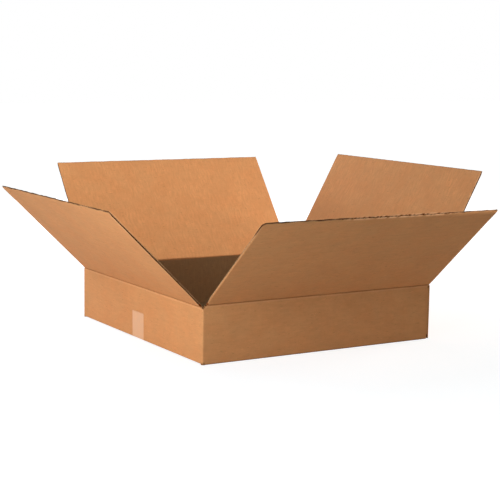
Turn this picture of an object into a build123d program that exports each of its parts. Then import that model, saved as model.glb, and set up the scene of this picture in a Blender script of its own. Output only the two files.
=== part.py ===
# Shallow regular slotted carton of corrugated board, standing with its four top flaps open.
# X runs along the front wall, Y away from it and Z up, in millimetres.
# The origin is on the table, under the middle of the bottom.
import os
from math import acos, atan2, cos, degrees, radians, sin, tan

from build123d import *

# Inside sizes: the depth runs from the floor to the score of the outer flaps
inside_length = 508.0
inside_width = 508.0
inside_depth = 101.6

# Corrugated board
board = 3.8
liner = 0.4
medium = 0.4
flute_pitch = 7.9
flute_crest = 1.0

# Folds, slots and the clearances between folded layers
fold_radius = 3.0
slot_width = 7.2
flap_seam = 1.0
layer_gap = 0.2
slot_clearance = 0.3
score_gap = 0.3
score_spare_angle = 0.5
crushed_length = 6.0
worn_corner = 9.0

# Glued lap behind the front wall
lap_width = 35.0
lap_taper = 8.0
lap_clearance = 2.0

# Top flaps: how far each leans out of upright, and how far it can turn
front_tilt = 49.0
back_tilt = 37.0
left_tilt = 45.6
right_tilt = 29.4
outward_limit = 113.0
closed_turn = 90.0

# Tape over the bottom seam
tape_width = 48.0
tape_thickness = 0.15
tape_rise = 52.0
tape_lean = 6.6
tape_tooth = 4.0
tape_tooth_depth = 2.0

# Sizes that follow from these
half_board = board / 2
half_length = inside_length / 2 + board
half_width = inside_width / 2 + board
flap_inset = half_board + slot_width / 2
outer_underside = tape_thickness
inner_underside = outer_underside + board + layer_gap
floor_height = inner_underside + board
outer_score = floor_height + inside_depth
inner_score = outer_score - board - layer_gap
slot_foot = outer_underside + half_board
roll_radius = (flap_inset - layer_gap) / 2
outer_slope = (180 - outward_limit) / 2 - score_spare_angle
inner_slope = closed_turn / 2 - score_spare_angle


def score_taper(side):
    """Half of a crushed score in (thickness, height), with the turning axis at (0, 0).

    side is +1 above the axis and -1 below it. The outside of the board has negative thickness.
    """
    tip = score_gap / 2
    return [
        (-half_board, side * half_board / tan(radians(outer_slope))),
        (-tip * tan(radians(outer_slope)), side * tip),
        (tip * tan(radians(inner_slope)), side * tip),
        (half_board, side * half_board / tan(radians(inner_slope))),
    ]


def panel(half_span, half_depth, score, fold):
    """A wall with the bottom flap folded under it, as one bent strip of board.

    The strip's section lies in (Y, Z) with the wall's outside at -half_depth. fold gives the
    outline from the outside of the wall, round the fold and back to the wall's inside.
    """
    axis = -half_depth + half_board
    top = [(axis + y, score + z) for y, z in score_taper(-1)]
    with BuildSketch(Plane.YZ) as section:
        with BuildLine():
            Polyline(*reversed(top))
            start, end = fold(half_depth)
            Line(top[0], start)
            Line(end, top[-1])
        make_face()
    return extrude(section.sketch, amount=half_span, both=True)


def outer_fold(half_depth):
    """The outer bottom flap: a round fold, then flat on the table up to the seam."""
    outside = -half_depth
    seam = -flap_seam / 2
    underside = outer_underside
    start = (outside, underside + fold_radius)
    end = (outside + board, underside + board)
    RadiusArc(start, (outside + fold_radius, underside), -fold_radius)
    Polyline(
        (outside + fold_radius, underside),
        (seam, underside),
        (seam, underside + board),
        end,
    )
    return start, end


def inner_fold(half_depth):
    """The inner bottom flap: its fold rolls down beside the outer flap, which it lies on."""
    outside = -half_depth
    seam = -flap_seam / 2
    underside = inner_underside
    start = (outside, underside)
    end = (outside + board, underside + board)
    low = (outside + roll_radius, underside - roll_radius)
    foot = (outside + 2 * roll_radius, underside)
    ThreePointArc(start, low, foot)
    Polyline(foot, (seam, underside), (seam, underside + board), end)
    return start, end


def corner_post():
    """The bend between two walls, over the slot, drawn at the origin with its outside at -X -Y."""
    bend = Rectangle(flap_inset, flap_inset, align=(Align.MIN, Align.MIN))
    bend = fillet(bend.vertices().sort_by(Axis.X).sort_by(Axis.Y)[0], fold_radius)
    bend -= Pos(board, board) * Rectangle(flap_inset, flap_inset, align=(Align.MIN, Align.MIN))
    return extrude(bend, amount=inner_score - slot_foot)


def plain_corners():
    """The three corners that are only folded."""
    post = corner_post()
    return [
        Pos(-half_length, -half_width, slot_foot) * post,
        Pos(-half_length, half_width, slot_foot) * Rot(0, 0, -90) * post,
        Pos(half_length, half_width, slot_foot) * Rot(0, 0, 180) * post,
    ]


def glued_lap():
    """The end wall's last strip, turned in behind the front wall and glued to it."""
    low = floor_height + lap_clearance
    high = inner_score - half_board - lap_clearance
    bend = half_length - board
    outline = Polygon(
        (bend, low),
        (bend, high),
        (half_length - lap_width, high - lap_taper),
        (half_length - lap_width, low + lap_taper),
        align=None,
    )
    lap = extrude(Plane.XZ.offset(half_width - board) * outline, amount=board, dir=(0, 1, 0))
    post = Box(board, flap_inset - board, inner_score - slot_foot, align=Align.MIN)
    return [lap, Pos(bend, -half_width + board, slot_foot) * post]


def lap_corner_rounding():
    """What the bend of the lap takes off the square corner of the end wall."""
    centre = (half_length - fold_radius, -half_width + board + fold_radius)
    spandrel = Rectangle(fold_radius, fold_radius, align=(Align.MIN, Align.MAX))
    spandrel -= Circle(fold_radius)
    return Pos(*centre) * extrude(spandrel, amount=outer_score)


def carton_body():
    """Walls, corners, lap and bottom flaps of the folded sheet, as one solid."""
    front = panel(half_length - flap_inset, half_width, outer_score, outer_fold)
    end = panel(half_width - flap_inset, half_length, inner_score, inner_fold)
    right_end = Rot(0, 0, 90) * end + glued_lap() - lap_corner_rounding()
    return front + [Rot(0, 0, 180) * front, Rot(0, 0, -90) * end, right_end, *plain_corners()]


def flutes(width):
    """The open tunnels of the fluted paper, seen from the free edge of a flap that wide.

    The tunnels stand wide side out, in turn against the two liners, and those at the sides
    are cut open by the flap's edge.
    """
    reach = half_board - liner
    narrow = flute_crest / 2
    wide = flute_pitch / 2 - narrow - 1.5 * medium
    foot = medium - reach
    tunnel = Polygon((-wide, reach), (wide, reach), (narrow, foot), (-narrow, foot), align=None)
    count = int(width / flute_pitch) + 2
    first = -flute_pitch * count / 2
    return Sketch() + [
        Pos(first + i * flute_pitch / 2) * Rot(0, 0, 180 * (i % 2)) * tunnel
        for i in range(2 * count + 1)
    ]


def flap(span, length, wear=0):
    """A top flap standing upright over its score, which is the X axis, with its outside at -Y.

    wear rounds off the free corner at -X.
    """
    width = span - 2 * slot_clearance
    crushed = Polygon(
        *score_taper(1), (half_board, crushed_length), (-half_board, crushed_length), align=None
    )
    root = extrude(Plane.YZ * crushed, amount=width / 2, both=True)
    section = Rectangle(width, board) - flutes(width)
    blade = extrude(Plane.XY.offset(crushed_length) * section, amount=length - crushed_length)
    if wear:
        spandrel = Rectangle(wear, wear, align=(Align.MAX, Align.MIN)) - Circle(wear)
        corner = Pos(-width / 2 + wear, 0, length - wear)
        blade -= corner * extrude(Plane.XZ * spandrel, amount=board, both=True)
    return root + blade


def hung(blank, turn, half_depth, score, tilt):
    """Sets an upright flap on the wall that faces the direction turn, leaning out by tilt."""
    return Rot(0, 0, turn) * Pos(0, half_board - half_depth, score) * Rot(tilt, 0, 0) * blank


def tape_end(lean):
    """The tape's end on the left wall: a torn leg that leans towards +Y as it rises."""
    foot = inner_underside
    teeth = round(tape_width / tape_tooth)
    pitch = tape_width / teeth
    torn = [
        (lean - tape_width / 2 + i * pitch / 2, tape_rise - tape_tooth_depth * (i % 2))
        for i in range(2 * teeth + 1)
    ]
    outline = Polygon((-tape_width / 2, foot), *torn, (tape_width / 2, foot), align=None)
    return extrude(Plane.YZ.offset(-half_length) * outline, amount=tape_thickness, dir=(-1, 0, 0))


def tape_turn():
    """The stretch of tape from under the left wall's rolled fold to the middle of the bottom.

    It follows the roll, leaves it on a tangent, and meets the table at the outer flap's edge.
    """
    centre = Vector(-half_length + roll_radius, inner_underside)
    edge = Vector(-half_length + flap_inset, outer_underside)
    reach = edge - centre
    leaving = degrees(atan2(reach.Y, reach.X) - acos(roll_radius / reach.length))
    wrap = leaving + 180
    radial = Vector(cos(radians(leaving)), sin(radians(leaving)))
    along = Vector(-radial.Y, radial.X)
    lifted = centre + radial * (roll_radius + tape_thickness)
    landed = lifted - along * (lifted.Y / along.Y)
    with BuildSketch(Plane.XZ) as section:
        with BuildLine():
            glued = CenterArc((centre.X, centre.Y), roll_radius, 180, wrap)
            outer = CenterArc((centre.X, centre.Y), roll_radius + tape_thickness, 180, wrap)
            Line(glued @ 0, outer @ 0)
            Polyline(glued @ 1, edge, (0, outer_underside), (0, 0), landed, outer @ 1)
        make_face()
    return extrude(section.sketch, amount=tape_width / 2, both=True)


def bottom_tape():
    """One strip along the bottom seam, pressed up both end walls."""
    half = tape_turn()
    left = half + tape_end(tape_lean)
    right = Rot(0, 0, 180) * (half + tape_end(0))
    return left + right


def main():
    front_span = 2 * (half_length - flap_inset)
    end_span = 2 * (half_width - flap_inset)
    outer_length = half_width - half_board - flap_seam / 2
    inner_length = half_length - half_board - flap_seam / 2
    outer_flap = flap(front_span, outer_length)
    inner_flap = flap(end_span, inner_length)
    worn_flap = flap(front_span, outer_length, worn_corner)
    parts = {
        "carton_body": carton_body(),
        "front_outer_flap": hung(worn_flap, 0, half_width, outer_score, front_tilt),
        "back_outer_flap": hung(outer_flap, 180, half_width, outer_score, back_tilt),
        "left_inner_flap": hung(inner_flap, -90, half_length, inner_score, left_tilt),
        "right_inner_flap": hung(inner_flap, 90, half_length, inner_score, right_tilt),
        "bottom_tape": bottom_tape(),
    }
    os.makedirs("parts", exist_ok=True)
    for name, shape in parts.items():
        export_step(shape, os.path.join("parts", name + ".step"))


if __name__ == "__main__":
    main()
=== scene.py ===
import math

import bpy
import numpy as np
from mathutils import Matrix, Quaternion, Vector


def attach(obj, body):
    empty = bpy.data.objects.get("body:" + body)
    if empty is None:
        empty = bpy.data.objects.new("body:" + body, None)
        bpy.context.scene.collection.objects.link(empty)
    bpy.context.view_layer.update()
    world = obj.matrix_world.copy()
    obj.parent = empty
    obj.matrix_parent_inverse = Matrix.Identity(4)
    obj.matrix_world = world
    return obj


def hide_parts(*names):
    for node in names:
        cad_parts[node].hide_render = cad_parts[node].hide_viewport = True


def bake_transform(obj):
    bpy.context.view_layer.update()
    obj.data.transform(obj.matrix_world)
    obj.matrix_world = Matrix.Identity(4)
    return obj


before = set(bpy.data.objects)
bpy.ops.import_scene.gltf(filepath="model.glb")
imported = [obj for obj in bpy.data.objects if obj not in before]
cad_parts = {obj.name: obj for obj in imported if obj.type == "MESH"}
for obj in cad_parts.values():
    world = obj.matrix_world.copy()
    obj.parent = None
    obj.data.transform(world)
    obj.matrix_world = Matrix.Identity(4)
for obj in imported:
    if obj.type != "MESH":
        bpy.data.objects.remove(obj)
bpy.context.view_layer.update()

print("loaded the frame:", len(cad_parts), "nodes")

# ---- camera, from the box's corners in the photograph ----

camera = {
    "azimuth": -31.093,     # degrees round the box, 0 looks along +Y
    "elevation": 8.137,
    "roll": 0.8385,
    "distance": 2.7404,     # metres from the aim, along the view
    "aim": (0.0, 0.0, 0.053),
    "right": -0.00524,      # how far the eye is set off sideways and up, unturned
    "up": 0.10551,
    "lens": 96.636,         # millimetres on a 36 mm sensor
}


def newObject(name, data):
    made = bpy.data.objects.new(name, data)
    bpy.context.collection.objects.link(made)
    return made


def placeCamera(c):
    # The eye is the aim plus distance times the backward direction, plus the two offsets
    azimuth, elevation, roll = (math.radians(c[k]) for k in ("azimuth", "elevation", "roll"))
    flat = math.cos(elevation)
    back = Vector((math.sin(azimuth) * flat, -math.cos(azimuth) * flat, math.sin(elevation)))
    right = Vector((0, 0, 1)).cross(back).normalized()
    up = back.cross(right)
    eye = Vector(c["aim"]) + back * c["distance"] + right * c["right"] + up * c["up"]
    across = right * math.cos(roll) + up * math.sin(roll)
    upright = up * math.cos(roll) - right * math.sin(roll)
    data = bpy.data.cameras.new("camera")
    data.lens = c["lens"]
    data.sensor_width = 36
    data.clip_end = 50
    placed = newObject("camera", data)
    turn = Matrix((across, upright, back)).transposed()
    placed.matrix_world = Matrix.Translation(eye) @ turn.to_4x4()
    bpy.context.scene.camera = placed


placeCamera(camera)
print("placed the camera")

# ---- making meshes out of grids ----

millimetre = 0.001


def gridCells(rows, cols, first=0):
    # The four corners of each cell of a grid whose points are numbered row by row
    start = (np.arange(rows - 1)[:, None] * cols + np.arange(cols - 1)).ravel() + first
    return np.stack([start, start + 1, start + cols + 1, start + cols], axis=1)


def rim(rows, cols):
    # Numbers of a grid's border points, once round from its first corner
    grid = np.arange(rows * cols).reshape(rows, cols)
    return np.concatenate([grid[0], grid[1:, -1], grid[-1, -2::-1], grid[-2:0:-1, 0]])


def volume(points, cells):
    # Six times the volume inside the cells: positive where they face outwards
    a, b, c, d = (points[cells[:, k], :3] for k in range(4))
    return np.sum(a * np.cross(b, c)) + np.sum(a * np.cross(c, d))


def slab(outside, inside, between=None, finish=(0, 0, 1)):
    # A closed sheet: two grids of points, joined round their rims, through the rows of
    # points in between if there are any. Each point is place and blank position, 6 numbers.
    # finish numbers the materials of the two grids and of the rim.
    rows, cols = outside.shape[:2]
    count = rows * cols
    edge = rim(rows, cols)
    points = [outside.reshape(-1, 6), inside.reshape(-1, 6)]
    front = gridCells(rows, cols)
    back = gridCells(rows, cols, count)[:, ::-1]
    steps = [edge]
    if between is not None:
        steps += list(2 * count + np.arange(between.size // 6).reshape(-1, len(edge)))
        points.append(between.reshape(-1, 6))
    steps.append(edge + count)
    ring = [np.stack([b, np.roll(b, -1), np.roll(a, -1), a], axis=1)
            for a, b in zip(steps, steps[1:])]
    cells = np.concatenate([front, back, *ring])
    marks = np.repeat(finish, [len(front), len(back), len(cells) - 2 * len(front)])
    points = np.concatenate(points)
    return points, cells if volume(points, cells) > 0 else cells[:, ::-1], marks


def makePiece(name, slabs, materials, smooth=35):
    # One mesh of all the slabs, in metres, with each point's place on the flat blank kept
    # as the attribute blank: across the flutes, along them, and depth from 0 to 1
    first = np.cumsum([0] + [len(points) for points, _, _ in slabs])
    cells = np.concatenate([cells + start for (_, cells, _), start in zip(slabs, first)])
    points, marks = (np.concatenate([parts[k] for parts in slabs]) for k in (0, 2))
    mesh = bpy.data.meshes.new(name)
    mesh.vertices.add(len(points))
    mesh.vertices.foreach_set("co", (points[:, :3] * millimetre).ravel())
    mesh.loops.add(cells.size)
    mesh.loops.foreach_set("vertex_index", cells.ravel().astype(np.int32))
    mesh.polygons.add(len(cells))
    mesh.polygons.foreach_set("loop_start", np.arange(0, cells.size, 4, dtype=np.int32))
    mesh.polygons.foreach_set("material_index", marks.astype(np.int32))
    mesh.update(calc_edges=True)
    blank = mesh.attributes.new("blank", "FLOAT_VECTOR", "POINT")
    scale = np.array([millimetre, millimetre, 1.0])
    blank.data.foreach_set("vector", (points[:, 3:] * scale).ravel().astype(np.float32))
    for material in materials:
        mesh.materials.append(material)
    mesh.shade_smooth()
    mesh.set_sharp_from_angle(angle=math.radians(smooth))
    piece = newObject(name, mesh)
    return piece


def storeWearAndLight(piece, values):
    # Keeps a value at each point for its material. Above 0 it darkens the paper: painted shade
    # in creases and folds, and dirt with painted shade at cut edges. Below 0 it pales it: torn
    # paper, partly a painted highlight, and painted highlights below the scores
    field = piece.data.attributes.new("crease", "FLOAT", "POINT")
    field.data.foreach_set("value", np.asarray(values, dtype=np.float32))


def spun(points, degrees):
    # Points turned about the upright axis: the first two numbers of each change
    c, s = math.cos(math.radians(degrees)), math.sin(math.radians(degrees))
    turned = points.copy()
    turned[..., 0] = c * points[..., 0] - s * points[..., 1]
    turned[..., 1] = s * points[..., 0] + c * points[..., 1]
    return turned


def joined(x, y, z, across, along, depth):
    # Six arrays that broadcast together, as one array of points
    return np.stack(np.broadcast_arrays(x, y, z, across, along, depth), axis=-1).astype(float)


def walk(a, b):
    # How far along its line each point lies: the sum of the straight steps up to it
    return np.concatenate([[0], np.cumsum(np.hypot(np.diff(a), np.diff(b)))])


# ---- materials ----

paper = {
    "shade": (0.600, 0.261, 0.098),     # kraft liner
    "warm": (0.606, 0.251, 0.092),
    # the pale of torn paper, partly its own colour and partly a painted highlight; it also
    # paints the highlight on the walls' lips below the scores
    "rawAndHighlight": (0.98, 0.53, 0.26),          # torn paper, where the crease value is below 0
    "mottle": 0.075,        # how much the cloudy patches lighten and darken
    "fibre": 0.105,         # streaks across the flutes, on the outside
    "hair": 0.21,           # short hairs along them, on the inside
    "fleck": 0.28,          # dark flecks, and the share of that which the pale ones have
    "paleShare": 0.45,
    # a positive crease value darkens the paper: painted shade in scores and folds, and dirt with
    # painted shade at cut edges
    "crease": 0.85,         # how much a score darkens the paper
    "drift": (0.012, 0.012, 0.0),       # metres
    "driftScale": (24, 30, 21),
    "bump": 0.00012,
}
# the paper's noise fields: scale across the flutes, along them and through the board, then
# detail and roughness
paperFields = {
    "clouds": ((13, 16, 9), 3.0, 0.5),
    "patches": ((60, 75, 5), 3.0, 0.6),
    "warmth": ((22, 26, 23), 2.0, 0.5),
    "streaks": ((24, 190, 31), 4.0, 0.65),
    "smears": ((55, 170, 37), 2.0, 0.6),
    "hairs": ((230, 50, 17), 3.0, 0.65),
    "fuzz": ((900, 1500, 13), 2.0, 0.6),
    "strands": ((150, 1150, 41), 2.0, 0.5),
    "threads": ((980, 130, 47), 2.0, 0.5),
    "marks": ((90, 430, 53), 1.0, 0.5),
}
# where a field's peaks become dark flecks and its troughs pale ones: from, to, and both ends'
# strengths
paperFlecks = {
    "strands": ((0.66, 0.76, 0.0, 1.0), (0.33, 0.24, 0.0, 1.0)),
    "threads": ((0.68, 0.78, 0.0, 1.0), (0.32, 0.22, 0.0, 1.0)),
    "marks": ((0.67, 0.75, 0.0, 0.75), (0.33, 0.25, 0.0, 0.9)),
}
cutBoard = {
    "flute": 0.0079,        # metres from flute to flute
    "swing": 0.34,          # of the board's thickness
    # the flute openings' colour: painted shade inside the flutes
    "gapShade": (0.12, 0.035, 0.010),
    "solid": (0.60, 0.27, 0.105),
}
tape = {
    "shade": (0.690, 0.335, 0.150),
    "roughness": (0.28, 0.44),
    "bump": 0.00005,
}


def feed(tree, inputs, values):
    # Links each input to the socket given for it, or sets it. Colours have three numbers here.
    for key, value in values.items():
        if isinstance(value, bpy.types.NodeSocket):
            tree.links.new(value, inputs[key])
        else:
            inputs[key].default_value = (*value, 1) if inputs[key].type == "RGBA" else value


def put(tree, kind, values=None, **settings):
    # A node with its settings and its inputs
    made = tree.nodes.new(kind)
    for key, value in settings.items():
        setattr(made, key, value)
    feed(tree, made.inputs, values or {})
    return made


def calc(tree, what, *terms, clamp=False):
    made = put(tree, "ShaderNodeMath", dict(enumerate(terms)), operation=what, use_clamp=clamp)
    return made.outputs[0]


def stretch(tree, vector, scale):
    made = put(tree, "ShaderNodeVectorMath", {0: vector, 1: scale}, operation="MULTIPLY")
    return made.outputs[0]


def noise(tree, vector, detail=2.0, roughness=0.5, given="Fac"):
    made = put(tree, "ShaderNodeTexNoise", {
        "Vector": vector, "Scale": 1.0, "Detail": detail, "Roughness": roughness})
    return made.outputs[given]


def spread(tree, value, low, high, toLow=0.0, toHigh=1.0):
    made = put(tree, "ShaderNodeMapRange", {
        "Value": value, "From Min": low, "From Max": high, "To Min": toLow, "To Max": toHigh})
    return made.outputs[0]


def mixed(tree, factor, a, b, kind="MIX"):
    made = put(tree, "ShaderNodeMix", {0: factor, 6: a, 7: b}, data_type="RGBA", blend_type=kind)
    return made.outputs[2]


def lit(tree, colour, level):
    # The colour times a brightness
    grey = put(tree, "ShaderNodeCombineXYZ", {0: level, 1: level, 2: level}).outputs[0]
    return mixed(tree, 1.0, colour, grey, "MULTIPLY")


def kraftGroup():
    # Unbleached paper: cloudy patches, streaks across the flutes outside, short hairs along
    # them inside, and dark and pale fibres. A slow drift keeps the streaks from lying straight.
    tree = bpy.data.node_groups.new("kraft paper", "ShaderNodeTree")
    tree.interface.new_socket("Blank", in_out="INPUT", socket_type="NodeSocketVector")
    tree.interface.new_socket("Crease", in_out="INPUT", socket_type="NodeSocketFloat")
    for key in ("shade", "warm", "mottle", "fibre", "hair", "fleck"):
        colour = isinstance(paper[key], tuple)
        kind = "NodeSocketColor" if colour else "NodeSocketFloat"
        made = tree.interface.new_socket(key.title(), in_out="INPUT", socket_type=kind)
        made.default_value = (*paper[key], 1) if colour else paper[key]
    for label, kind in (("Color", "Color"), ("Roughness", "Float"), ("Height", "Float")):
        tree.interface.new_socket(label, in_out="OUTPUT", socket_type="NodeSocket" + kind)
    given = tree.nodes.new("NodeGroupInput").outputs
    result = tree.nodes.new("NodeGroupOutput").inputs
    blank = given["Blank"]
    inside = put(tree, "ShaderNodeSeparateXYZ", {0: blank}).outputs[2]
    wander = noise(tree, stretch(tree, blank, paper["driftScale"]), given="Color")
    drift = put(tree, "ShaderNodeVectorMath", {
        0: wander, 1: (0.5, 0.5, 0.5)}, operation="SUBTRACT")
    drift = stretch(tree, drift.outputs[0], paper["drift"])
    blank = put(tree, "ShaderNodeVectorMath", {0: blank, 1: drift}, operation="ADD").outputs[0]
    field = {key: noise(tree, stretch(tree, blank, scale), *rest)
             for key, (scale, *rest) in paperFields.items()}
    streaky = calc(tree, "MULTIPLY", spread(tree, inside, 0.0, 1.0, 1.0, 0.35), given["Fibre"])
    hairy = calc(tree, "MULTIPLY", spread(tree, inside, 0.0, 1.0, 0.15, 1.0), given["Hair"])
    hairy = calc(tree, "MULTIPLY", hairy, spread(tree, field["clouds"], 0.35, 0.65, 0.5, 1.3))
    level = 1.0
    for key, amount, gain in (
            ("clouds", given["Mottle"], 2.2), ("patches", given["Mottle"], 1.6),
            ("streaks", streaky, 1.5), ("smears", streaky, 1.5), ("hairs", hairy, 2.2),
            ("fuzz", given["Fibre"], 0.7)):
        shift = calc(tree, "MULTIPLY", calc(tree, "SUBTRACT", field[key], 0.5), amount)
        level = calc(tree, "MULTIPLY_ADD", shift, gain, level)
    dark = pale = 0.0
    for key, (peak, trough) in paperFlecks.items():
        dark = calc(tree, "MAXIMUM", dark, spread(tree, field[key], *peak))
        pale = calc(tree, "MAXIMUM", pale, spread(tree, field[key], *trough))
    level = calc(tree, "SUBTRACT", level, calc(tree, "MULTIPLY", dark, given["Fleck"]))
    paler = calc(tree, "MULTIPLY", given["Fleck"], paper["paleShare"])
    level = calc(tree, "MULTIPLY_ADD", pale, paler, level)
    # A crease value above 0 darkens the paper: painted shade in scores and folds, and dirt with
    # painted shade at cut edges. Below 0 it mixes in the pale of torn paper, partly a painted
    # highlight, and the painted highlight below the scores.
    worn = calc(tree, "MAXIMUM", given["Crease"], 0.0)
    scored = calc(tree, "MULTIPLY_ADD", worn, -paper["crease"], 1.0)
    level = calc(tree, "MULTIPLY", level, scored)
    warmth = spread(tree, field["warmth"], 0.35, 0.65)
    shaded = lit(tree, mixed(tree, warmth, given["Shade"], given["Warm"]), level)
    torn = calc(tree, "MULTIPLY", given["Crease"], -1.0, clamp=True)
    fuzz = calc(tree, "MULTIPLY", field["fuzz"], 0.4)
    height = calc(tree, "MULTIPLY_ADD", field["hairs"], 0.5, fuzz)
    feed(tree, result, {
        "Color": mixed(tree, torn, shaded, paper["rawAndHighlight"]),
        "Roughness": spread(tree, field["patches"], 0.3, 0.7, 0.78, 0.92),
        "Height": calc(tree, "MULTIPLY_ADD", field["strands"], 0.3, height)})
    return tree


kraft = kraftGroup()


def newMaterial(name):
    # A material, its tree and its shader's inputs
    material = bpy.data.materials.new(name)
    material.use_nodes = True
    tree = material.node_tree
    return material, tree, tree.nodes["Principled BSDF"].inputs


def blankOf(tree):
    return put(tree, "ShaderNodeAttribute", attribute_name="blank").outputs["Vector"]


def kraftMaterial(name, gloss=0.12, **values):
    # Paper, with the kraft group's own values or the ones given here
    material, tree, shader = newMaterial(name)
    crease = put(tree, "ShaderNodeAttribute", attribute_name="crease").outputs["Fac"]
    sheet = put(tree, "ShaderNodeGroup", {
        "Blank": blankOf(tree), "Crease": crease, **values}, node_tree=kraft).outputs
    relief = put(tree, "ShaderNodeBump", {
        "Height": sheet["Height"], "Strength": 0.6, "Distance": paper["bump"]}).outputs[0]
    feed(tree, shader, {
        "Base Color": sheet["Color"], "Roughness": sheet["Roughness"], "Normal": relief,
        "Specular IOR Level": gloss})
    return material


linerFinish = kraftMaterial("kraft liner")
# The walls' inside faces, painted darker and duller than the flaps' inner liner: painted shade
# inside the box
insideShadeFinish = kraftMaterial(
    "inner liner", Shade=(0.440, 0.252, 0.116), Warm=(0.445, 0.244, 0.108))
# Fluted paper, near black-brown: partly its own darker colour, mostly painted shade of the flute
# tunnels. The liners' faces toward the flutes and the crushed root wedge take it as well.
fluteShadeFinish = kraftMaterial(
    "fluted paper", gloss=0.0, Shade=(0.165, 0.036, 0.006), Warm=(0.17, 0.034, 0.005),
    Mottle=0.12)
cutFinish = kraftMaterial(
    "cut paper", gloss=0.0, Shade=(0.76, 0.42, 0.21), Warm=(0.70, 0.36, 0.17), Mottle=0.2,
    Fibre=0.2)


def coreMaterial():
    # The cut through a wall: a paper wave between the two liners, with its openings painted
    # dark as the shade inside the flutes.
    # The wave's line is the place where depth equals a half plus a sine across the flutes.
    material, tree, shader = newMaterial("cut board")
    blank = blankOf(tree)
    parts = put(tree, "ShaderNodeSeparateXYZ", {0: blank}).outputs
    turns = calc(tree, "MULTIPLY", parts[0], 2 * math.pi / cutBoard["flute"])
    centre = calc(tree, "MULTIPLY_ADD", calc(tree, "SINE", turns), cutBoard["swing"], 0.5)
    fromWave = calc(tree, "ABSOLUTE", calc(tree, "SUBTRACT", parts[2], centre))
    fromMiddle = calc(tree, "ABSOLUTE", calc(tree, "SUBTRACT", parts[2], 0.5))
    fluting = spread(tree, fromWave, 0.06, 0.13, 1.0, 0.0)
    solid = calc(tree, "MAXIMUM", fluting, spread(tree, fromMiddle, 0.37, 0.40))
    fuzz = noise(tree, stretch(tree, blank, (1400, 1400, 9)), 2.0)
    solid = calc(tree, "MULTIPLY", solid, spread(tree, fuzz, 0.2, 0.45, 0.7, 1.0))
    feed(tree, shader, {
        "Base Color": mixed(tree, solid, cutBoard["gapShade"], cutBoard["solid"]),
        "Roughness": 0.85, "Specular IOR Level": 0.0})
    return material


coreFinish = coreMaterial()


def tapeMaterial():
    # Thin film over kraft: fine lengthwise streaks, a few paler air lines, a soft gloss
    material, tree, shader = newMaterial("tape film")
    blank = blankOf(tree)
    streaks = noise(tree, stretch(tree, blank, (900, 25, 1)), 3.0)
    patches = noise(tree, stretch(tree, blank, (60, 90, 3)), 3.0)
    air = noise(tree, stretch(tree, blank, (120, 190, 3)), 4.0, 0.7)
    level = calc(tree, "MULTIPLY_ADD", calc(tree, "SUBTRACT", streaks, 0.5), 0.14, 1.0)
    level = calc(tree, "MULTIPLY_ADD", calc(tree, "SUBTRACT", patches, 0.5), 0.18, level)
    level = calc(tree, "MULTIPLY_ADD", spread(tree, air, 0.62, 0.70), 0.07, level)
    relief = put(tree, "ShaderNodeBump", {
        "Height": streaks, "Strength": 0.3, "Distance": tape["bump"]}).outputs[0]
    feed(tree, shader, {
        "Base Color": lit(tree, tape["shade"], level), "Normal": relief,
        "Roughness": spread(tree, patches, 0.3, 0.7, *tape["roughness"])})
    return material


tapeFinish = tapeMaterial()
print("made the materials")

# ---- board: sizes shared by the walls and the flaps, in millimetres as in the CAD model ----

board = {
    "half": 257.8,          # middle of the box to the outside of a wall
    "thick": 3.8,
    "liner": 0.4,
    "fluted": 0.4,
    "pitch": 7.9,
    "wallHalf": 252.3,      # middle of a wall to its corner bend
    "flapHalf": 252.0,
    "flapLength": 255.4,
    "underOuter": 0.15,     # underside of the outer and the inner bottom flaps
    "underInner": 4.15,
    "seam": 0.5,
    "outerTaper": 2.926,    # where a crushed score starts, from the turning axis
    "innerTaper": 1.934,
    "crush": 0.6,           # how deep and how wide a score dents each liner
    "crushReach": 2.6,
    "washboard": 0.05,
    "fade": 10.0,           # dents and washboard start this far from a cut edge or a corner
}
middle = board["thick"] / 2
axis = board["half"] - middle
sides = {
    "front": {"turn": 0, "score": 109.55, "tilt": 49.0, "blank": 0.0, "fold": "outer",
              "pinch": (1.5, 0.35), "flare": (3.0, 0.6)},
    "left": {"turn": -90, "score": 105.55, "tilt": 45.6, "blank": -515.6, "fold": "inner",
             "pinch": (0.35, 0.2), "flare": (0.6, 3.0)},
    "back": {"turn": 180, "score": 109.55, "tilt": 37.0, "blank": -1031.2, "fold": "outer",
             "pinch": (0.35, 0.35), "flare": (1.5, 1.5)},
    "right": {"turn": 90, "score": 105.55, "tilt": 29.4, "blank": -1546.8, "fold": "inner",
              "pinch": (0.35, 0.35), "flare": (3.0, 1.5)},
}


def ripples(across, along, seed, depth):
    # Shallow dents: a sum of slow cosine waves in two directions, from 0 to depth
    draw = np.random.default_rng(seed)
    total = 0.0
    waves = 6
    for _ in range(waves):
        length = draw.uniform(60, 210)
        heading = draw.uniform(0, math.pi)
        phase = draw.uniform(0, 2 * math.pi)
        run = across * math.cos(heading) + along * math.sin(heading)
        total = total + np.cos(2 * math.pi * run / length + phase)
    return depth * (0.5 + total / waves / 2)


def frayed(along, seed, step, low, high):
    # A ragged line: random heights every step millimetres, joined straight
    draw = np.random.default_rng(seed)
    knots = np.arange(np.min(along) - step, np.max(along) + 2 * step, step)
    return np.interp(along, knots, draw.uniform(low, high, len(knots)))


def dent(distance):
    # A score's dent: a bell curve of the distance from the turning axis
    return board["crush"] * np.exp(-(distance / board["crushReach"]) ** 2)


def washed(across):
    # The liner sinks a little between the flutes: a raised cosine across them
    return board["washboard"] * (0.5 - 0.5 * np.cos(2 * math.pi * across / board["pitch"]))


def onFlutes(low, high, count):
    # Places across the flutes, so many to a flute
    step = board["pitch"] / count
    return np.arange(math.ceil(low / step), math.floor(high / step) + 1) * step


def columns(low, high, fine=3.0):
    # Four places to a flute, and closer by both ends
    ends = np.array([0.0, 0.35, 0.8, 1.4, 2.2])
    return np.concatenate(
        [low + ends, onFlutes(low + fine, high - fine, 4), (high - ends)[::-1]])


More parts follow.
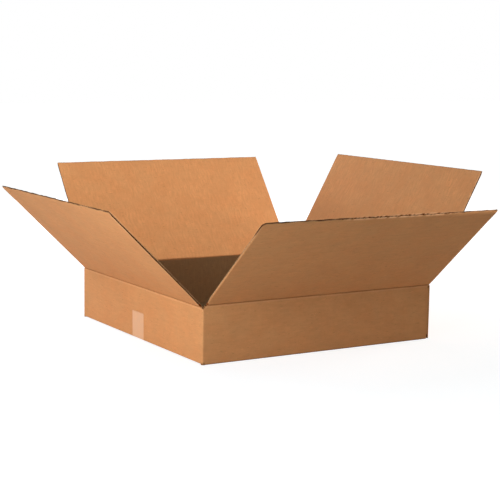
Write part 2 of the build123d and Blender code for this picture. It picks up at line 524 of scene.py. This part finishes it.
def fadeIn(distance):
    # Grows from 0 at a cut edge or a corner to 1
    return np.clip(distance / board["fade"], 0, 1)


def away(start, end, first=0.7, growth=1.6, widest=26.0):
    # Places from start to end: the steps grow from the first one up to the widest, and are
    # then scaled a little so that they fill the length
    length = abs(end - start)
    steps = [first]
    while sum(steps) < length:
        steps.append(min(steps[-1] * growth, widest))
    places = np.concatenate([[0.0], np.cumsum(steps)]) * length / sum(steps)
    return start + np.sign(end - start) * places


def edgeRing(outside, inside, groove, crown=None):
    # Four rows of points between the rims of a board: the liners' inner faces, and the
    # bottom of the groove between them. groove is how deep it is on each of the four
    # borders. crown holds the rows along the first border where that one is a score.
    rows, cols = outside.shape[:2]
    edge = rim(rows, cols)
    place = outside[:, :, :3]
    toward = np.zeros((rows, cols, 3))
    for border, beside in ((0, 1), (-1, -2)):
        toward[border] = place[beside] - place[border]
    for border, beside in ((0, 1), (-1, -2)):
        toward[:, border] = place[:, beside] - place[:, border]
    toward = toward.reshape(-1, 3)[edge]
    toward /= np.linalg.norm(toward, axis=1)[:, None]
    depth = np.zeros(len(edge))
    borders = np.cumsum([0, cols - 1, rows - 1, cols - 1, rows - 1])
    for k in range(4):
        depth[borders[k] + 1:borders[k + 1]] = groove[k]
    a = outside.reshape(-1, 6)[edge]
    b = inside.reshape(-1, 6)[edge]
    skin = board["liner"] / board["thick"]
    ring = []
    for share, deep in ((skin, 0), (skin * 1.2, 1), (1 - skin * 1.2, 1), (1 - skin, 0)):
        row = a + (b - a) * share
        row[:, :3] += toward * (depth * deep)[:, None]
        ring.append(row)
    ring = np.array(ring)
    if crown is not None:
        ring[:, :cols] = crown
    return ring


# ---- walls, corners and bottom flaps: one piece ----

wallLook = {
    "roundOuter": 3.0,      # outside radius of the folds and the corners
    "roundRoll": 2.65,      # the end walls' fold, which rolls down beside the outer flap
    "roundInner": 0.8,
    "dents": 0.16,
    "bendFade": 12.0,       # the dents end this far above the bottom fold
    "groove": 2.6,          # between the liners at a cut edge
    "lapEnd": 222.8,
    "lapLow": 8.3,
    "lapHigh": 101.65,
    "lapTaper": 8.0,
    "cornerFoot": 0.6,
    "cornerTop": 105.55,
    "bendRise": 2.0,        # how far the glued bend's cut end slopes up to the front wall
    "cornerDip": 3.6,       # how far the slots are cut down into each corner bend
    "cornerInner": 0.4,     # inside radius of a corner bend
    "cornerGroove": 0.6,
    "cornerRows": 18,
    "jointEdge": 248.2,     # where the front wall's cut edge leaves the lap behind it bare
    # the crushed top of a wall, from outside to inside: distance outwards from the turning
    # axis, drop below it, and depth in the board
    "crown": ((-1.0, 1.54, 0.24), (-0.1, 0.15, 0.47), (0.15, 0.15, 0.54), (1.0, 1.02, 0.76)),
    # the bottom folds' darkening is painted shade, and the pale lip below each score a painted
    # highlight
    "foldShade": (1.6, 3.0),     # reach of the dark bottom folds, upwards and inwards
    "lipDrop": 3.0,         # a pale lip runs this far below each score
    "lipHighlight": (1.1, 1.5),
    "lipPale": 0.3,
}


def arc(centre, radius, start, end, count):
    # Points of a circle from one angle to another, in degrees
    angle = np.radians(np.linspace(start, end, count))
    return centre[0] + radius * np.cos(angle), centre[1] + radius * np.sin(angle)


def wallSlab(name, side):
    # The wall and its bottom flap as one bent strip: a section in (y, z), carried along x
    outer = side["fold"] == "outer"
    under = board["underOuter"] if outer else board["underInner"]
    out, top, look = -board["half"], side["score"], wallLook
    low, high = -board["wallHalf"], board["wallHalf"]
    if name == "front":
        high = look["jointEdge"]
    if name == "right":
        low = out + board["thick"] + look["roundOuter"]
    x = columns(low, high)
    if outer:
        radius = look["roundOuter"]
        bendY, bendZ = arc((out + radius, under + radius), radius, 180, 270, 9)
    else:
        radius = look["roundRoll"]
        bendY, bendZ = arc((out + radius, under), radius, 180, 360, 15)
    wallZ = away(top - board["outerTaper"], bendZ[0])[:-1]
    flatY = away(bendY[-1], -board["seam"], first=2.0, widest=60.0)[1:]
    outY = np.concatenate([np.full(len(wallZ), out), bendY, flatY])
    outZ = np.concatenate([wallZ, bendZ, np.full(len(flatY), bendZ[-1])])
    # The inner skin has as many rows, matched one to one
    small = look["roundInner"]
    inY0, inZ0 = out + board["thick"], under + board["thick"]
    inBendY, inBendZ = arc((inY0 + small, inZ0 + small), small, 180, 270, len(bendY))
    share = (wallZ - wallZ[0]) / (bendZ[0] - wallZ[0])
    inWall = (top - board["innerTaper"]) + share * (inBendZ[0] - top + board["innerTaper"])
    inShare = (flatY - bendY[-1]) / (flatY[-1] - bendY[-1])
    inFlat = inBendY[-1] + inShare * (-board["seam"] - inBendY[-1])
    inY = np.concatenate([np.full(len(wallZ), inY0), inBendY, inFlat])
    inZ = np.concatenate([inWall, inBendZ, np.full(len(flatY), inZ0)])
    along = (outZ[0] - walk(outY, outZ))[:, None]
    across = side["blank"] + x
    seed = side["turn"] + 200
    onWall = np.clip((outZ - bendZ[0]) / look["bendFade"], 0, 1)[:, None]
    fade = fadeIn(board["wallHalf"] - np.abs(x))
    sunk, inSunk = (
        (dent(top - z)[:, None] + ripples(across, along, number, look["dents"]) * fade
         + washed(across) * fade) * onWall for z, number in ((outZ, seed), (inZ, seed + 1)))
    outside = joined(x, outY[:, None] + sunk, outZ[:, None], across, along, 0)
    inside = joined(x, inY[:, None] - inSunk, inZ[:, None], across, along, 1)
    crown = np.array([
        joined(x, y - axis, top - drop, across, top, depth) for y, drop, depth in look["crown"]])
    glued = look["groove"] if name == "front" else 0
    ring = edgeRing(outside, inside, (0, glued, look["groove"], 0), crown)
    parts = slab(outside, inside, ring, finish=(0, 2, 1))
    return spun(parts[0], side["turn"]), parts[1], parts[2]


def planSlab(outX, outY, inX, inY, low, high, across, groove):
    # A piece of upright board given in plan, with its own lowest and highest z at each row
    share = np.linspace(0, 1, wallLook["cornerRows"])
    z = low[:, None] + (high - low)[:, None] * share
    outside = joined(outX[:, None], outY[:, None], z, across[:, None], z, 0)
    inside = joined(inX[:, None], inY[:, None], z, across[:, None], z, 1)
    return slab(outside, inside, edgeRing(outside, inside, groove), finish=(0, 2, 1))


def cornerSlab(turn, blank):
    # The bend between two walls: a quarter circle in plan, carried upwards
    look, out, end = wallLook, -board["half"], -board["wallHalf"]
    plan = []
    for face, radius in ((out, look["roundOuter"]), (out + board["thick"], look["cornerInner"])):
        x, y = arc((face + radius, face + radius), radius, 270, 180, 9)
        plan += [np.concatenate([[end], x, [face]]), np.concatenate([[face], y, [end]])]
    foot = np.full(len(plan[0]), look["cornerFoot"])
    top = look["cornerTop"] - look["cornerDip"] * np.sin(np.linspace(0, math.pi, len(foot)))
    groove = (0, look["cornerGroove"], 0, look["cornerGroove"])
    points, cells, marks = planSlab(*plan, foot, top, blank + end - walk(*plan[:2]), groove)
    return spun(points, turn), cells, marks


def lapSlabs():
    # The glued corner: the end wall's bend, and the tapered lap behind the front wall
    look, out, thick = wallLook, board["half"], board["thick"]
    radius, inset, small = look["roundOuter"], look["groove"], look["cornerGroove"]
    face = -out + thick
    start = sides["right"]["blank"] - (out - thick - radius)
    bendX, bendY = arc((out - radius, face + radius), radius, 0, -90, 9)
    outX = np.append(bendX, out - thick)
    outY = np.append(bendY, face)
    inX = np.full(10, out - thick)
    inY = face + radius + (thick - radius) * np.linspace(0, 1, 10)
    inX[-1] -= 0.05     # keeps the bend's last cells from folding over the lap's first ones
    walked = walk(outX, outY)
    foot = np.full(10, look["cornerFoot"])
    rise = look["bendRise"] * np.linspace(0, 1, 10)
    bend = planSlab(outX, outY, inX, inY, foot, look["cornerTop"] + rise, start - walked,
                    (0, small, 0, small))
    x = np.linspace(out - thick, look["lapEnd"], 17)
    taper = look["lapTaper"] * np.interp(-x, [-look["jointEdge"], -look["lapEnd"]], [0, 1])
    lap = planSlab(x, np.full(17, face), x, np.full(17, face + thick),
                   look["lapLow"] + taper, look["lapHigh"] - taper,
                   start - walked[-1] - (x[0] - x), (0, inset, inset, inset))
    return [bend, lap]


def wallShadeAndHighlight(points):
    # Bell curves of the height and of the distance in from the walls' outsides: painted shade
    # along the bottom folds, and a painted highlight on the lip just below each score
    look = wallLook
    (foldUp, foldIn), (lipUp, lipIn) = look["foldShade"], look["lipHighlight"]
    inward = board["half"] - np.max(np.abs(points[:, :2]), axis=1)
    onEnds = np.abs(points[:, 1]) <= np.abs(points[:, 0])
    score = np.where(onEnds, sides["left"]["score"], sides["front"]["score"])
    fold = np.exp(-(points[:, 2] / foldUp) ** 2 - (inward / foldIn) ** 2)
    fromLip = points[:, 2] - score + look["lipDrop"]
    lip = np.exp(-(fromLip / lipUp) ** 2 - (inward / lipIn) ** 2)
    return fold - look["lipPale"] * lip


wallSlabs = [wallSlab(name, side) for name, side in sides.items()]
cornerSlabs = [cornerSlab(sides[name]["turn"], sides[name]["blank"])
               for name in ("front", "left", "back")]
cartonSlabs = [*wallSlabs, *cornerSlabs, *lapSlabs()]
carton = makePiece(
    "cartonBoard", cartonSlabs, [linerFinish, coreFinish, insideShadeFinish])
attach(carton, "carton")
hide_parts("carton_body")
storeWearAndLight(carton, wallShadeAndHighlight(np.concatenate([points for points, _, _ in cartonSlabs])))
print("made the walls:", len(carton.data.polygons), "faces")

# ---- flaps: two liners with the fluted paper between them ----

flapLook = {
    "dents": 0.12,
    # ragged lines: step, lowest and highest
    "fray": (0.9, 0.0, 0.3),        # how ragged the free edges and the sides are
    "sideFray": (2.5, 0.0, 0.25),
    "recess": (3.0, 0.3, 1.3),      # how far the fluted paper stands back
    "pressed": (9.0, 0.2, 1.25),    # how far a liner is pressed in at the free edge
    "pressReach": 5.0,
    "pinched": (13.0, 0.5, 1.0),    # the same along the sides, times each side's own depth
    "pinchReach": 1.6,
    "openReach": 26.0,      # the sides stay open this far from the free edge
    "fluteStart": 5.0,      # the fluted paper starts this far from the score
    "sideGroove": 3.0,
    "flareReach": 14.0,     # how far from the score the slots widen
    "torn": (28.0, 116.0),  # middle and half length of the front flap's torn stretch
    "tornFray": (4.2, 1.4),         # how far the outer and the inner liner are torn back
    "tornFlute": 3.0,       # and the fluted paper between them
    "shreds": (3.6, -0.5, 1.2),     # where they are torn back furthest, cut off at 0 and 1
    "fibres": (2.6, -0.6, 1.5),     # the pale spots on the torn flutes, cut off likewise
    # torn paper's paleness: partly its own colour, partly a painted highlight
    "rawAndHighlight": 0.95,            # how far torn paper turns pale, on its face and on its back
    "rawBackAndHighlight": 1.0,
    "rawFluteAndHighlight": 0.9,        # and on the flutes
    "rawHighlightReach": 3.4,
    # the other cut edges' darkening: partly dirt, partly painted shade
    "soilAndShade": 0.85,         # how dark the other cut edges are
    "soilShadePatches": (14.0, 0.1, 1.5),
    "soilShadeReach": 0.9,
    "rootSpread": (33.0, 44.5),     # degrees that the crushed board opens, outside and inside
    "rootGap": 0.2,
    "fluteSteps": 10,
    "wornCorner": 9.0,
}


def narrowed(x, s, side):
    # Places across the flap, drawn in near the score where the slots flare: each half is
    # scaled by one less a bell curve of s
    flare = np.where(x < 0, *side["flare"]) / board["flapHalf"]
    return x * (1 - flare * np.exp(-(s / flapLook["flareReach"]) ** 2))


def tornShare(name, x):
    # 1 along the front flap's torn stretch and 0 away from it, by a flat-topped bell
    centre, reach = flapLook["torn"]
    return np.exp(-((x - centre) / reach) ** 8) * (name == "front")


def patches(along, seed, kind):
    # A ragged line between 0 and 1, flat where it would pass them
    return np.clip(frayed(along, seed, *flapLook[kind]), 0, 1)


def edgeWearAndLight(side, x, torn, bare, back, pale):
    # Bell curves of the distance back from the free edge: a cut edge is darkened in patches,
    # partly dirt and partly painted shade, and where it is torn the bare part turns pale, partly
    # the torn paper's own colour and partly a painted highlight
    look = flapLook
    patchy = patches(side["blank"] + x, side["turn"] + 509, "soilShadePatches")
    soilShade = (1 - torn) * look["soilAndShade"] * patchy * np.exp(-(back / look["soilShadeReach"]) ** 2)
    rawAndHighlight = torn * bare * np.exp(-(back / look["rawHighlightReach"]) ** 4)
    return (soilShade - look[pale] * rawAndHighlight).ravel()


def hung(x, y, s, side, across, depth):
    # A point of the upright flap, leaned out by the flap's tilt and set on its score
    lean, score = math.radians(side["tilt"]), side["score"]
    c, n = math.cos(lean), math.sin(lean)
    points = joined(x, y * c - s * n - axis, y * n + s * c + score, across, score + s, depth)
    return spun(points, side["turn"])


def flapReach(x, worn):
    # The flap's length at x: full, or less by a circle's edge near the worn corner
    length = np.full(np.shape(x), board["flapLength"])
    if worn:
        inward = np.clip(worn - (x + board["flapHalf"]), 0, worn)
        length = length - worn + np.sqrt(np.maximum(worn ** 2 - inward ** 2, 0))
    return length


def linerFace(name, x, s, length, seed):
    # How far a liner's outer face is sunk below the plain board: the score, shallow dents,
    # the washboard, and the pressed cut edges
    look, side = flapLook, sides[name]
    across = side["blank"] + x
    inFromSide = board["flapHalf"] - np.abs(x)
    fade = fadeIn(inFromSide) * fadeIn(length - s)
    sunk = dent(s) + (ripples(across, s, seed, look["dents"]) + washed(across)) * fade
    pressed = frayed(across, seed + 3, *look["pressed"]) * (1 - tornShare(name, x))
    sunk = sunk + pressed * np.exp(-((length - s) / look["pressReach"]) ** 2)
    pinched = frayed(s[:, :1], seed + 4, *look["pinched"]) * np.where(x < 0, *side["pinch"])
    pinched = pinched * (1 - np.exp(-((length - s) / look["openReach"]) ** 4))
    return sunk + pinched * np.exp(-(inFromSide / look["pinchReach"]) ** 2)


def flapSlabs(name, side):
    # The flap's two liners, fluted paper and root, and at each of their points the value that
    # darkens or pales the paper: dirt, torn paper, painted shade and painted highlight.
    # The rows stand closest by the score and by the free edge.
    look = flapLook
    seed = side["turn"] + 500
    worn = look["wornCorner"] if name == "front" else 0
    x = columns(-board["flapHalf"], board["flapHalf"])
    if worn:
        x = np.unique(np.concatenate([x, -board["flapHalf"] + np.linspace(0, worn, 19)]))
    across, length, torn = side["blank"] + x, flapReach(x, worn), tornShare(name, x)
    share = np.concatenate([away(0, 0.5, 0.004, 1.5, 0.08),
                            1 - away(0, 0.5, 0.002, 1.5, 0.08)[-2::-1]])[:, None]
    slabs, wearAndLight, faces = [], [], {}
    for sign, taper in ((-1, board["outerTaper"]), (1, board["innerTaper"])):
        number = seed + (10 if sign > 0 else 0)
        shreds = patches(across, number + 6, "shreds")
        s = taper + share * (length - taper)
        s[-1] -= (frayed(across, number + 1, *look["fray"])
                  + torn * look["tornFray"][0 if sign < 0 else 1] * shreds)
        y = sign * (middle - linerFace(name, x, s, length, number))
        under = y - sign * board["liner"]
        edgeX = narrowed(x, s, side)
        edgeX[:, 0] += frayed(s[:, 0], number + 2, *look["sideFray"])
        edgeX[:, -1] -= frayed(s[:, 0], number + 5, *look["sideFray"])
        outer = hung(edgeX, y, s, side, across, 0.5 + 0.5 * sign)
        inner = hung(edgeX, under, s, side, across, 0.5 + 0.25 * sign)
        pair = (outer, inner) if sign > 0 else (inner, outer)
        # A liner's face toward the flutes takes the fluted paper's painted shade
        slabs.append(slab(*pair, finish=(0, 1, 2) if sign > 0 else (1, 0, 2)))
        # Torn paper is pale, partly its own colour and partly a painted highlight, and least so
        # where it is torn back furthest
        wearAndLight += [edgeWearAndLight(side, x, torn, 1 - shreds, length - s, pale)
                 for pale in (("rawAndHighlight", "rawBackAndHighlight") if sign > 0 else ("rawBackAndHighlight", "rawAndHighlight"))]
        faces[sign] = (s, under)
    fluted, flutedWearAndLight = flutedSlab(name, faces, x, worn, seed)
    slabs += [fluted, rootSlab(side, x)]
    return slabs, np.concatenate([*wearAndLight, flutedWearAndLight, np.zeros(len(slabs[-1][0]))])


def flutedSlab(name, faces, x, worn, seed):
    # The fluted paper: a sine wave across the flap that touches both liners, with its own
    # thickness set off square to the wave, carried from the score to the free edge
    look, side = flapLook, sides[name]
    half = board["flapHalf"] - look["sideGroove"]
    fine = onFlutes(-half, half, look["fluteSteps"])
    across, length, torn = side["blank"] + fine, flapReach(fine, worn), tornShare(name, fine)
    recess = frayed(across, seed + 7, *look["recess"]) + look["tornFlute"] * torn
    start = look["fluteStart"]
    share = np.array([0, 0.01, 0.04, 0.3, 0.7, 0.95, 0.98, 0.992, 1.0])
    s = start + share[:, None] * (length - recess - start)

    def linerAt(sign):
        # The liner's inner face at the wave's own places, by straight steps in x and s
        rows, under = faces[sign]
        onRows = np.array([np.interp(fine, x, row) for row in under])
        lengths = np.array([np.interp(fine, x, row) for row in rows])
        return np.array([
            np.interp(s[:, k], lengths[:, k], onRows[:, k]) for k in range(len(fine))]).T

    low, high = linerAt(-1), linerAt(1)
    thick = board["fluted"] / 2
    swing = (high - low) / 2 - thick
    turn = 2 * math.pi / board["pitch"]
    wave = (high + low) / 2 + swing * np.sin(turn * across)
    slope = swing * turn * np.cos(turn * across)
    unit = 1 / np.sqrt(1 + slope ** 2)
    grids = []
    for sign in (1, -1):
        px = narrowed(fine, s, side) - sign * thick * slope * unit
        py = wave + sign * thick * unit
        grids.append(hung(px, py, s, side, across, 0.5))
    # Where the liners are torn away the paper's broken fibres show as pale spots, partly
    # their own colour and partly a painted highlight
    spots = patches(across, seed + 8, "fibres")
    wearAndLight = edgeWearAndLight(side, fine, torn, spots, length - recess - s, "rawFluteAndHighlight")
    # the fluted paper's dark finish is painted shade of the tunnels
    return slab(*grids, finish=(1, 1, 2)), np.tile(wearAndLight, 2)


def rootSlab(side, x):
    # The crushed board by the score: a wedge that opens from the turning axis
    s = np.array([0.15, 0.8, 1.5, 2.3, 3.2, 4.5, 6.5])[:, None]
    room = middle - flapLook["rootGap"] - dent(s)
    outY, inY = (np.minimum(room, s * math.tan(math.radians(spread)))
                 for spread in flapLook["rootSpread"])
    across, wide = side["blank"] + x, narrowed(x, s, side)
    # the crushed board takes the fluted paper's dark finish: painted shade in the score
    return slab(hung(wide, inY, s, side, across, 0.85),
                hung(wide, -outY, s, side, across, 0.15), finish=(1, 1, 1))


for name, side in sides.items():
    slabs, wearAndLight = flapSlabs(name, side)
    flap = makePiece(
        name + "FlapBoard", slabs, [linerFinish, fluteShadeFinish, cutFinish])
    storeWearAndLight(flap, wearAndLight)
    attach(flap, name + "_flap")
    kind = side["fold"]
    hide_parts(f"{name}_{kind}_flap")
print("made the flaps")

# ---- creases: the liner that runs on from each wall to its flap ----

creaseLook = {
    "sheet": 0.3,       # thickness of the creased liner
    "lip": 1.6,         # half the width of the valley's opening, along the board
    "valley": 1.4,      # how far past the turning axis the valley's middle is pulled
    # the darkened paper round a score is painted shade of the crease's valley
    "dark": 1.25,       # reach of the darkened paper round the axis
    "darkRise": 0.3,    # outside, how far above the axis it is darkest
}


def creaseLine(side, inner):
    # The liner's line across the score, in (y, s) round the turning axis. Inside it goes
    # round the axis on a circle; outside it dips in a valley, a quadratic curve.
    lean = math.radians(side["tilt"])

    def leaned(y, s):
        return (y * math.cos(lean) - s * math.sin(lean), y * math.sin(lean) + s * math.cos(lean))

    if inner:
        flat = np.linspace(-board["innerTaper"], 0, 6)[:-1]
    else:
        flat = np.linspace(-board["outerTaper"], -creaseLook["lip"], 6)
    face = (middle - dent(flat)) * (1 if inner else -1)
    here = np.array([face, flat])
    there = np.array(leaned(face[::-1], -flat[::-1]))
    if inner:
        angle = np.linspace(0, lean, 9)
        bend = (middle - dent(0)) * np.array([np.cos(angle), np.sin(angle)])
    else:
        control = creaseLook["valley"] * np.array([math.cos(lean / 2), math.sin(lean / 2)])
        t = np.linspace(0, 1, 11)[1:-1]
        bend = (np.outer(here[:, -1], (1 - t) ** 2) + np.outer(control, 2 * t * (1 - t))
                + np.outer(there[:, 0], t ** 2))
    return np.concatenate([here, bend, there], axis=1)


def creasePiece(name, side, inner):
    # The line carried along the score, backed by the same line set off square to it
    look = creaseLook
    line = creaseLine(side, inner)
    along = walk(*line)
    along = side["score"] + along - along[-1] / 2
    heading = np.gradient(line, axis=1)
    heading /= np.hypot(*heading)
    normal = np.array([-heading[1], heading[0]]) * (1 if inner else -1)
    backed = line + normal * look["sheet"]
    x = columns(-board["flapHalf"], board["flapHalf"])
    across = side["blank"] + x
    wide = narrowed(x, 0, side)

    def placed(at, depth):
        points = joined(wide, at[0][:, None] - axis, at[1][:, None] + side["score"], across,
                        along[:, None], depth)
        return spun(points, side["turn"])

    outer, under = placed(line, 1.0 if inner else 0.0), placed(backed, 0.5)
    sheet = slab(*((outer, under) if inner else (under, outer)), finish=(0, 0, 0))
    piece = makePiece(
        name + ("CreaseInside" if inner else "CreaseOutside"), [sheet], [linerFinish])
    worn = np.zeros(line.shape[1])
    # Outside, the paper round the score is darkened: painted shade in the crease's valley
    if not inner:
        fromScore = np.hypot(line[0], line[1] - look["darkRise"])
        worn = np.exp(-(fromScore / look["dark"]) ** 2)
    storeWearAndLight(piece, np.tile(np.repeat(worn, len(x)), 2))
    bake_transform(piece)


for name, side in sides.items():
    creasePiece(name, side, False)
    creasePiece(name, side, True)
print("made the creases")

# ---- tape along the bottom seam ----

tapeLook = {
    "width": 48.0,
    "thick": 0.15,
    "rise": 55.5,       # height of the torn ends
    "lean": 0.8,        # how far the left end leans along its wall
    "tooth": 4.0,
    "toothDepth": 3.2,
    "fray": (1.1, 0.0, 0.5),        # ragged as the flaps' edges are
}


def tapePath():
    # The tape's outer line in (x, z) from the left end down, round the rolled fold and
    # along a tangent to the table, and then to the middle
    half, radius = board["half"], wallLook["roundRoll"]
    centre = np.array([-half + radius, board["underInner"]])
    edge = np.array([-board["wallHalf"], board["underOuter"]])
    reachTo = edge - centre
    far = np.hypot(*reachTo)
    leaving = math.degrees(math.atan2(reachTo[1], reachTo[0]) - math.acos(radius / far))
    outer = radius + tapeLook["thick"]
    leg = away(tapeLook["rise"], centre[1], 1.0, 1.4, 6.0)[:-1]
    bendX, bendZ = arc(centre, outer, 180, 360 + leaving, 9)
    along = np.array([-math.sin(math.radians(leaving)), math.cos(math.radians(leaving))])
    lifted = np.array([bendX[-1], bendZ[-1]])
    landed = lifted - along * lifted[1] / along[1]
    run = np.linspace(landed[0], 0, 14)
    x = np.concatenate([np.full(len(leg), -half - tapeLook["thick"]), bendX, run])
    z = np.concatenate([leg, bendZ, np.zeros(len(run))])
    return x, z, len(leg)


def tapeSlab():
    # The path and the same path set in by the tape's thickness, carried across its width.
    # The right half is the left one turned round the upright axis, with ends of its own.
    look = tapeLook
    x, z, legRows = tapePath()
    heading = np.gradient(np.array([x, z]), axis=1)
    heading /= np.hypot(*heading)
    inX, inZ = x - heading[1] * look["thick"], z + heading[0] * look["thick"]
    inX[:legRows], inZ[:legRows] = -board["half"], z[:legRows]
    flat = z <= 1e-6
    inX[flat], inZ[flat] = x[flat], look["thick"]
    across = np.linspace(-look["width"] / 2, look["width"] / 2, 97)
    walked = walk(x, z)

    def tapeHalf(px, pz, lean, seed, depth):
        rise = np.clip((pz - board["underInner"]) / (look["rise"] - board["underInner"]), 0, 1)
        y = across + lean * rise[:, None]
        teeth = look["toothDepth"] * np.abs(((across / look["tooth"]) % 1) * 2 - 1)
        ragged = frayed(across, seed, *look["fray"]) + teeth
        height = pz[:, None] - ragged * rise[:, None] ** 6
        return joined(px[:, None], y, height, across, (walked - walked[-1])[:, None], depth)

    grids = []
    for px, pz, depth in ((x, z, 0), (inX, inZ, 1)):
        left = tapeHalf(px, pz, look["lean"], 71, depth)
        right = spun(tapeHalf(px, pz, 0.0, 83, depth), 180)[::-1, ::-1][1:]
        right[:, :, 3:5] *= -1
        grids.append(np.concatenate([left, right]))
    return slab(*grids, finish=(0, 0, 0))


tapePiece = makePiece("sealingTape", [tapeSlab()], [tapeFinish], smooth=50)
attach(tapePiece, "carton")
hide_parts("bottom_tape")
print("made the tape")

# ---- floor, world and lamps ----

studio = {
    "floorSize": 24.0,
    "floorShade": 0.8,
    # what the camera sees instead: part shade and part glow, so that the floor is white and
    # keeps a soft shadow near the box. The glow grows over these metres from the middle.
    "floorSeen": 0.33,
    "floorGlow": (0.80, 1.0),
    "glowReach": (0.55, 1.3),
    "world": (0.068, 0.134, 0.176),
    "softSize": 0.6,            # of the distance
    # soft lamps: where each stands (azimuth, elevation, metres from the middle), and its
    # level in red, green and blue
    "softLamps": {
        "keyLeft": (-60, 12, 1.5, (0.642, 0.698, 0.734)),
        "rimRight": (90, 12, 2.4, (0.95, 0.865, 0.775)),
        "rimBack": (180, 12, 2.4, (0.48, 0.50, 0.54)),
        "highBack": (-150, 28, 1.5, (0.455, 0.472, 0.510)),
    },
    # a narrow lamp that skims over the front flap on to the inside of the back flap
    "spot": {
        "edge": (0.5, -0.448, 0.275),   # the height of the front flap's free edge
        "slope": 13.6,
        "distance": 2.0,
        "target": (0.08, 0.335, 0.215),
        "level": 0.655,
        "cone": 60,
        "flatness": 0.0784,
        "blend": 0.06,
        "roll": -2.55,
        "size": 0.006,
    },
}


def seenShare(tree):
    # 1 for what the camera and reflections see, 0 for the light that falls on things
    path = put(tree, "ShaderNodeLightPath").outputs
    seen = calc(tree, "MAXIMUM", path["Is Camera Ray"], path["Is Glossy Ray"])
    return calc(tree, "MAXIMUM", seen, path["Is Transmission Ray"])


def makeFloor():
    # A wide white square, which the camera and reflections see lighter than it is
    look = studio
    mesh = bpy.data.meshes.new("floor")
    half = look["floorSize"] / 2
    mesh.from_pydata([(-half, -half, 0), (half, -half, 0), (half, half, 0), (-half, half, 0)],
                     [], [(0, 1, 2, 3)])
    floor = newObject("floor", mesh)
    material, tree, shader = newMaterial("floor")
    seen = seenShare(tree)
    place = put(tree, "ShaderNodeTexCoord").outputs["Object"]
    far = put(tree, "ShaderNodeVectorMath", {0: place}, operation="LENGTH").outputs["Value"]
    glow = spread(tree, far, *look["glowReach"], *look["floorGlow"])
    feed(tree, shader, {
        "Base Color": mixed(tree, seen, *((look[k],) * 3 for k in ("floorShade", "floorSeen"))),
        "Roughness": 0.9, "Specular IOR Level": 0.0, "Emission Color": (1, 1, 1),
        "Emission Strength": calc(tree, "MULTIPLY", seen, glow)})
    mesh.materials.append(material)


def makeWorld():
    # A dim cool sky, which the camera and reflections see white
    world = bpy.data.worlds.new("studio")
    bpy.context.scene.world = world
    world.use_nodes = True
    tree = world.node_tree
    feed(tree, tree.nodes["Background"].inputs, {
        "Color": mixed(tree, seenShare(tree), studio["world"], (1.0, 1.0, 1.0))})


def makeLamp(name, kind, place, target, levels):
    # A lamp at its place, facing its target, in the levels' colour and the highest one's energy
    data = bpy.data.lights.new(name, kind)
    data.energy = max(levels)
    data.color = [level / max(levels) for level in levels]
    lamp = newObject(name, data)
    lamp.location = place
    lamp.rotation_mode = "QUATERNION"
    lamp.rotation_quaternion = (place - target).to_track_quat("Z", "Y")
    return lamp


def makeLamps():
    # A lamp's level is what a white card gives back at its target, facing it. The energy for
    # that grows with the square of the distance.
    aim = Vector((0, 0, 0.15))
    for name, (azimuth, elevation, far, levels) in studio["softLamps"].items():
        a, e = math.radians(azimuth), math.radians(elevation)
        source = Vector((math.sin(a) * math.cos(e), -math.cos(a) * math.cos(e), math.sin(e)))
        lamp = makeLamp(name, "AREA", aim + source * far, aim, levels)
        lamp.data.size = studio["softSize"] * far
        lamp.data.energy *= (math.pi * far) ** 2
    look = studio["spot"]
    slope = math.radians(look["slope"])
    back = Vector((0, -math.cos(slope), math.sin(slope)))
    place = Vector(look["edge"]) + back * look["distance"]
    lamp = makeLamp("flapSpot", "SPOT", place, Vector(look["target"]), [look["level"]] * 3)
    lamp.data.energy *= (2 * math.pi * (place - Vector(look["target"])).length) ** 2
    lamp.data.spot_size = math.radians(look["cone"])
    lamp.data.spot_blend = look["blend"]
    lamp.data.shadow_soft_size = look["size"]
    lamp.scale = (1, look["flatness"], 1)
    lamp.rotation_quaternion @= Quaternion((0, 0, 1), math.radians(look["roll"]))


makeFloor()
makeWorld()
makeLamps()
bpy.context.scene.view_settings.view_transform = "Standard"
print("made the studio")
